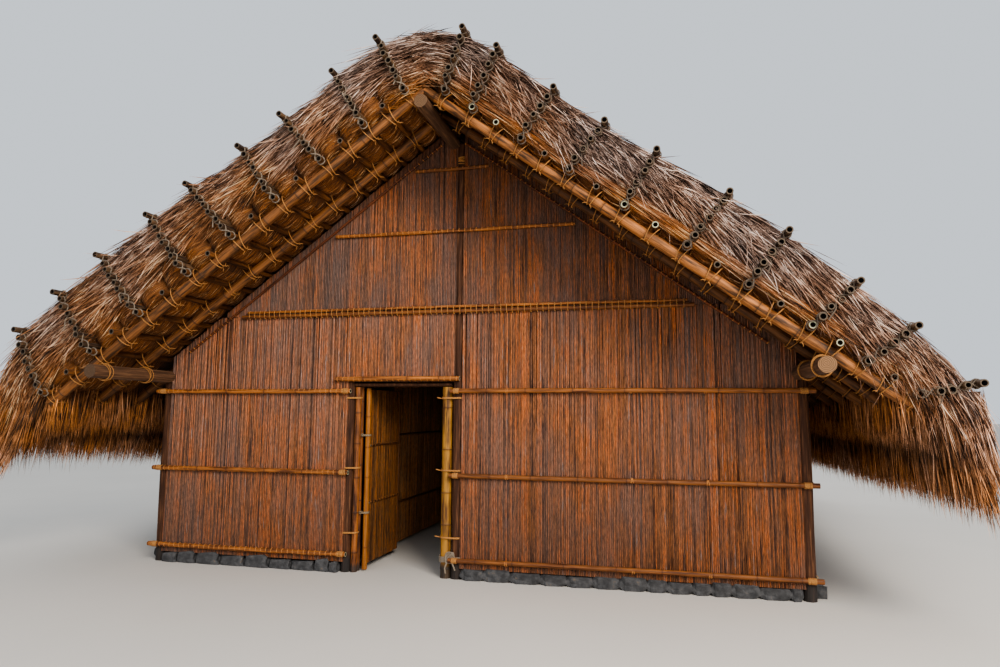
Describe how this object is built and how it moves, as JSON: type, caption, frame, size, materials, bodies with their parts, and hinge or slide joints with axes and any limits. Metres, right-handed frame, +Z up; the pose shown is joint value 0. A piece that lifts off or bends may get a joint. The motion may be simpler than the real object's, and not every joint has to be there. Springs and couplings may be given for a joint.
{
  "type": "gable-fronted thatched bamboo house",
  "caption": "One-room gable-fronted house with cane walls on bamboo rails, dark posts, a side-hung reed door and a thick thatched roof on bamboo rafters.",
  "frame": {"origin": "on the ground in the middle of the plan, under the ridge", "axes": "+X to the right seen from the door side, +Y along the ridge away from the door, +Z up"},
  "size_m": [8.64, 9.87, 4.9],
  "materials": {
    "dark_post_timber": "matt",
    "cane": "satin",
    "dark_cane": "satin",
    "bamboo": "satin",
    "yellow_bamboo": "satin",
    "log": "matt",
    "rattan_rope": "matt",
    "reed": "matt",
    "field_stone": "matt",
    "thatch": "matt",
    "thatch_fringe": "matt"
  },
  "bodies": {
    "house": {"corner_post_front_left": "dark_post_timber", "corner_post_front_right": "dark_post_timber", "corner_post_back_left": "dark_post_timber", "corner_post_back_right": "dark_post_timber", "front_centre_post": "dark_post_timber", "back_centre_post": "dark_post_timber", "middle_ridge_post": "dark_post_timber", "door_left_post": "dark_post_timber", "door_lintel": "dark_post_timber", "front_wall_left": "cane", "front_wall_right": "cane", "front_wall_over_door": "cane", "back_wall_left": "cane", "back_wall_right": "cane", "left_wall": "cane", "right_wall": "cane", "front_gable_left": "dark_cane", "front_gable_right": "dark_cane", "front_low_rail_left": "bamboo", "front_low_rail_right": "bamboo", "front_mid_rail_left": "bamboo", "front_mid_rail_right": "bamboo", "front_high_rail_left": "bamboo", "front_high_rail_right": "bamboo", "door_head_rail": "bamboo", "gable_low_rail": "bamboo", "gable_mid_rail": "bamboo", "gable_top_rail": "bamboo", "gable_trim_left": "bamboo", "gable_trim_right": "bamboo", "door_jamb_left": "bamboo", "door_jamb_left_back": "bamboo", "roof_frame_left": "bamboo", "roof_frame_right": "bamboo", "door_jamb_right": "yellow_bamboo", "inner_partition": "reed", "hinge_loop_lower": "rattan_rope", "hinge_loop_upper": "rattan_rope", "stones_front_left": "field_stone", "stones_front_right": "field_stone", "stones_back_left": "field_stone", "stones_back_right": "field_stone", "stones_left": "field_stone", "stones_right": "field_stone", "ridge_pole": "log", "wall_plate_left": "log", "wall_plate_right": "log", "thatch_left": "thatch", "thatch_right": "thatch", "eave_fringe_left": "thatch_fringe", "eave_fringe_right": "thatch_fringe"},
    "door": {"door_leaf": "reed", "door_hinge_pole": "yellow_bamboo"}
  },
  "joints": [
    {"name": "door_hinge", "type": "hinge", "parent": "house", "child": "door", "pos_m": [-0.905, -3.72, 0], "axis": [0, 0, 1], "range_deg": [-90, 0]}
  ]
}
